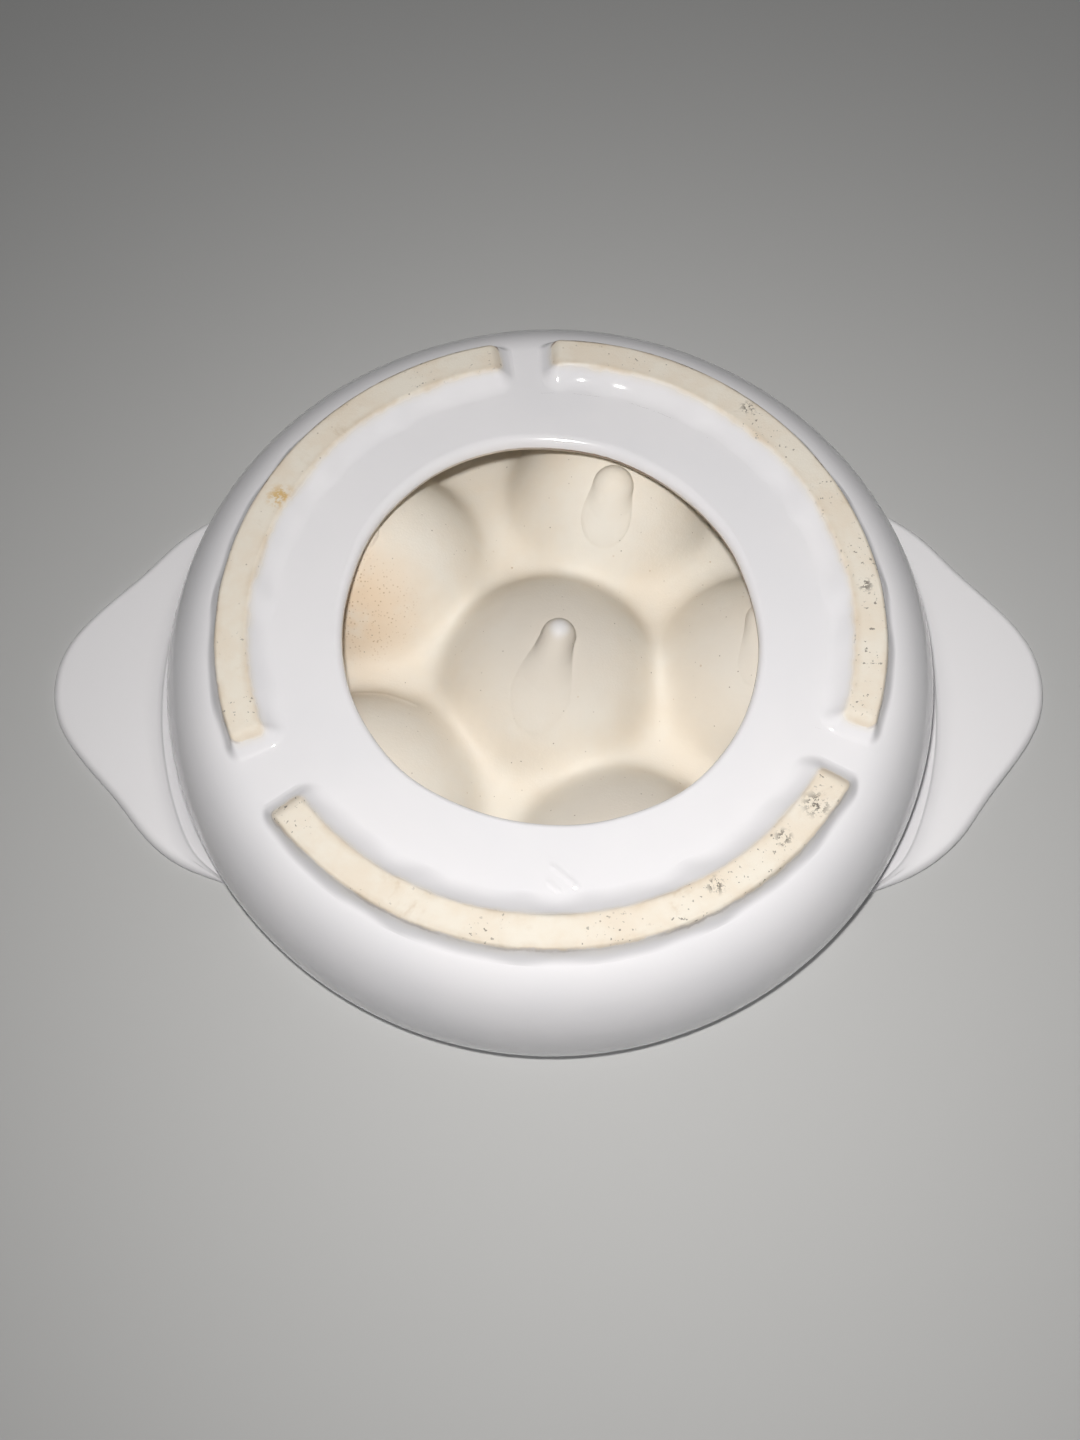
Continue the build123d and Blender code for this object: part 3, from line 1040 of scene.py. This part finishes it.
# The drip on each dome, head towards -Y: its name's end, and then what make_drip asks for
DRIPS = (
    ("center", (1.9, -1.5), (-2.9, 13.3), (4.2, 7.2), (4.7, 1.7, 0.6, 0.4)),
    ("1", (-3.4, -6.2), (-5.2, 6.0), (4.3, 5.0), (3.0, 1.7, 0.8, 0.4)),
    ("2", (-0.5, 0.5), (-1.5, 8.5), (4.2, 5.0), (3.0, 1.5, 0.6, 0.3)),
    ("3", (0.5, 0.0), (-0.5, 8.0), (4.2, 5.0), (3.0, 1.5, 0.6, 0.3)),
    ("4", (-1.8, 2.6), (-7.0, 11.0), (4.2, 5.2), (2.4, 1.3, 0.6, 0.3)),
    ("5", (-0.9, 8.6), (-2.6, 15.4), (5.2, 6.3), (2.9, 2.0, 1.1, 0.7)),
)


make_wall()
make_base()
make_rims()
make_handles()
make_deck()
for number, middle in enumerate(cup_centers):
    make_cup(number, middle)
make_foot()
for middle, (ending, *shape) in zip(cup_centers, DRIPS):
    make_drip(ending, middle, *shape)


# ------------ camera, floor and light


def view_axes():
    """The camera's place and its right, up and back directions. It looks up at the tray's
    underside, from its +Y side."""
    elevation, azimuth, roll = (math.radians(a) for a in (-68.83, -0.40, 0.25))
    looked_at, distance = np.array([-2.45, 16.75, 24.0]), 300.22
    flat = math.cos(elevation)
    back = np.array([math.sin(azimuth) * flat, math.cos(azimuth) * flat, math.sin(elevation)])
    right = unit(np.cross(-back, [0, 0, -1]))
    up = np.cross(right, -back)
    turn, lean = math.cos(roll), math.sin(roll)
    right, up = right * turn + up * lean, up * turn - right * lean
    return looked_at + back * distance, right, up, back


def add_camera():
    place, right, up, back = view_axes()
    data = bpy.data.cameras.new("photo_camera")
    data.sensor_width = 36.0
    data.lens = 30.9
    data.clip_start, data.clip_end = 0.01, 20.0
    camera = add_object("photo_camera", data)
    rows = [[right[i], up[i], back[i], place[i] * MM] for i in range(3)]
    camera.matrix_world = Matrix(rows + [[0, 0, 0, 1]])
    bpy.context.scene.camera = camera


def one_sided(name, grey):
    """A matt floor that is only there from its front, so that each view has its own table. It
    glows a little more the higher it rises, so that a backdrop stays pale."""
    n = Nodes(name)
    matt = n.add("ShaderNodeBsdfDiffuse")
    n.put((grey, grey, grey * 0.99, 1), matt.inputs["Color"])
    glow = n.add("ShaderNodeEmission")
    rising = n.ramp(n.along("Z"), 0.06, 1.1, 0.0, 0.30)
    n.put_all(glow, {"Color": (1, 1, 0.99, 1), "Strength": rising})
    both = n.add("ShaderNodeAddShader")
    n.put_all(both, {0: matt.outputs[0], 1: glow.outputs[0]})
    clear = n.add("ShaderNodeBsdfTransparent").outputs[0]
    side = n.add("ShaderNodeNewGeometry").outputs["Backfacing"]
    mix = n.add("ShaderNodeMixShader")
    n.put_all(mix, {0: side, 1: both.outputs[0], 2: clear})
    n.join(mix.outputs[0], n.output.inputs["Surface"])
    return n.material


def add_stage(name, rings, material, reflected):
    """A round stage piece through rings given as (radius, height) in metres. The camera sees
    it, but it throws no light or shade on the tray. The glaze may reflect it."""
    around = np.pad(circle(160), ((0, 0), (0, 1)))
    points = np.concatenate([around * radius + [0, 0, height] for radius, height in rings])
    faces = grid_faces(len(rings), len(around), False, True)
    stage = add_object(name, smooth_mesh(name, points, faces, material))
    stage.visible_diffuse = False
    stage.visible_glossy = reflected
    stage.visible_shadow = False


def add_studio():
    """A table that curves up into a backdrop, for views from above, and a table round the rim,
    for views from below."""
    floor_end, wall, top = 2.6, 4.0, 3.2
    table_start, table_end, table_height = 0.088, 0.7, (tray_height - 0.5) * MM
    bend = wall - floor_end
    turns = np.linspace(math.pi / 2, 0, 17)
    curve = [(floor_end + bend * math.sin(a), bend * (1 - math.cos(a))) for a in turns]
    sweep = [(wall, top)] + curve + [(0.0, 0.0)]
    add_stage("floor_and_backdrop", sweep, one_sided("pale_floor", 0.62), False)
    table = [(table_start, table_height), (table_end, table_height)]
    add_stage("table_round_rim", table, one_sided("pale_table", 0.55), True)


def add_light(name, place, target, size, power, color):
    """A soft disc of light that faces a target. Places are in millimetres."""
    data = bpy.data.lights.new(name, "AREA")
    data.shape = "DISK"
    data.size = size * MM
    data.energy = power
    data.color = color
    light = add_object(name, data)
    away = Vector(place) - Vector(target)
    facing = away.to_track_quat("Z", "Y").to_matrix().to_4x4()
    light.matrix_world = Matrix.Translation(Vector(place) * MM) @ facing


def add_world():
    """Soft light from all round: dim below and brighter above, a little more from the right."""
    world = bpy.data.worlds.new("studio")
    bpy.context.scene.world = world
    world.use_nodes = True
    tree = world.node_tree
    background = tree.nodes["Background"]
    heading = tree.nodes.new("ShaderNodeTexCoord").outputs["Generated"]
    split = tree.nodes.new("ShaderNodeSeparateXYZ")
    tree.links.new(heading, split.inputs[0])
    strength = tree.nodes.new("ShaderNodeMath")
    strength.operation = "MULTIPLY"
    brighter = (
        ("Z", "SMOOTHSTEP", (0.35, 0.95, 0.135, 1.0)),
        ("X", "LINEAR", (-1.0, 1.0, 0.85, 1.15)),
    )
    for part, (axis, way, numbers) in zip(strength.inputs, brighter):
        spread = tree.nodes.new("ShaderNodeMapRange")
        spread.interpolation_type = way
        tree.links.new(split.outputs[axis], spread.inputs["Value"])
        for socket, number in zip(("From Min", "From Max", "To Min", "To Max"), numbers):
            spread.inputs[socket].default_value = number
        tree.links.new(spread.outputs["Result"], part)
    tree.links.new(strength.outputs[0], background.inputs["Strength"])
    background.inputs["Color"].default_value = (0.98, 0.99, 1.0, 1)


def add_lights():
    """A small lamp beside the camera, which leans to the right, and a large soft one above."""
    place, right, up, back = view_axes()
    lamp = place + up * 22.0 - right * 6.0
    target = place - back * 300.0 + right * 90.0 + up * 20.0
    add_light("key_below", lamp, target, 13.0, 0.82, (1, 0.985, 0.965))
    add_light("key_above", (-260, -330, 820), (0, 0, 20), 520.0, 3.8, (1, 0.99, 0.97))


add_camera()
add_studio()
add_world()
add_lights()
bpy.context.scene.view_settings.view_transform = "Standard"
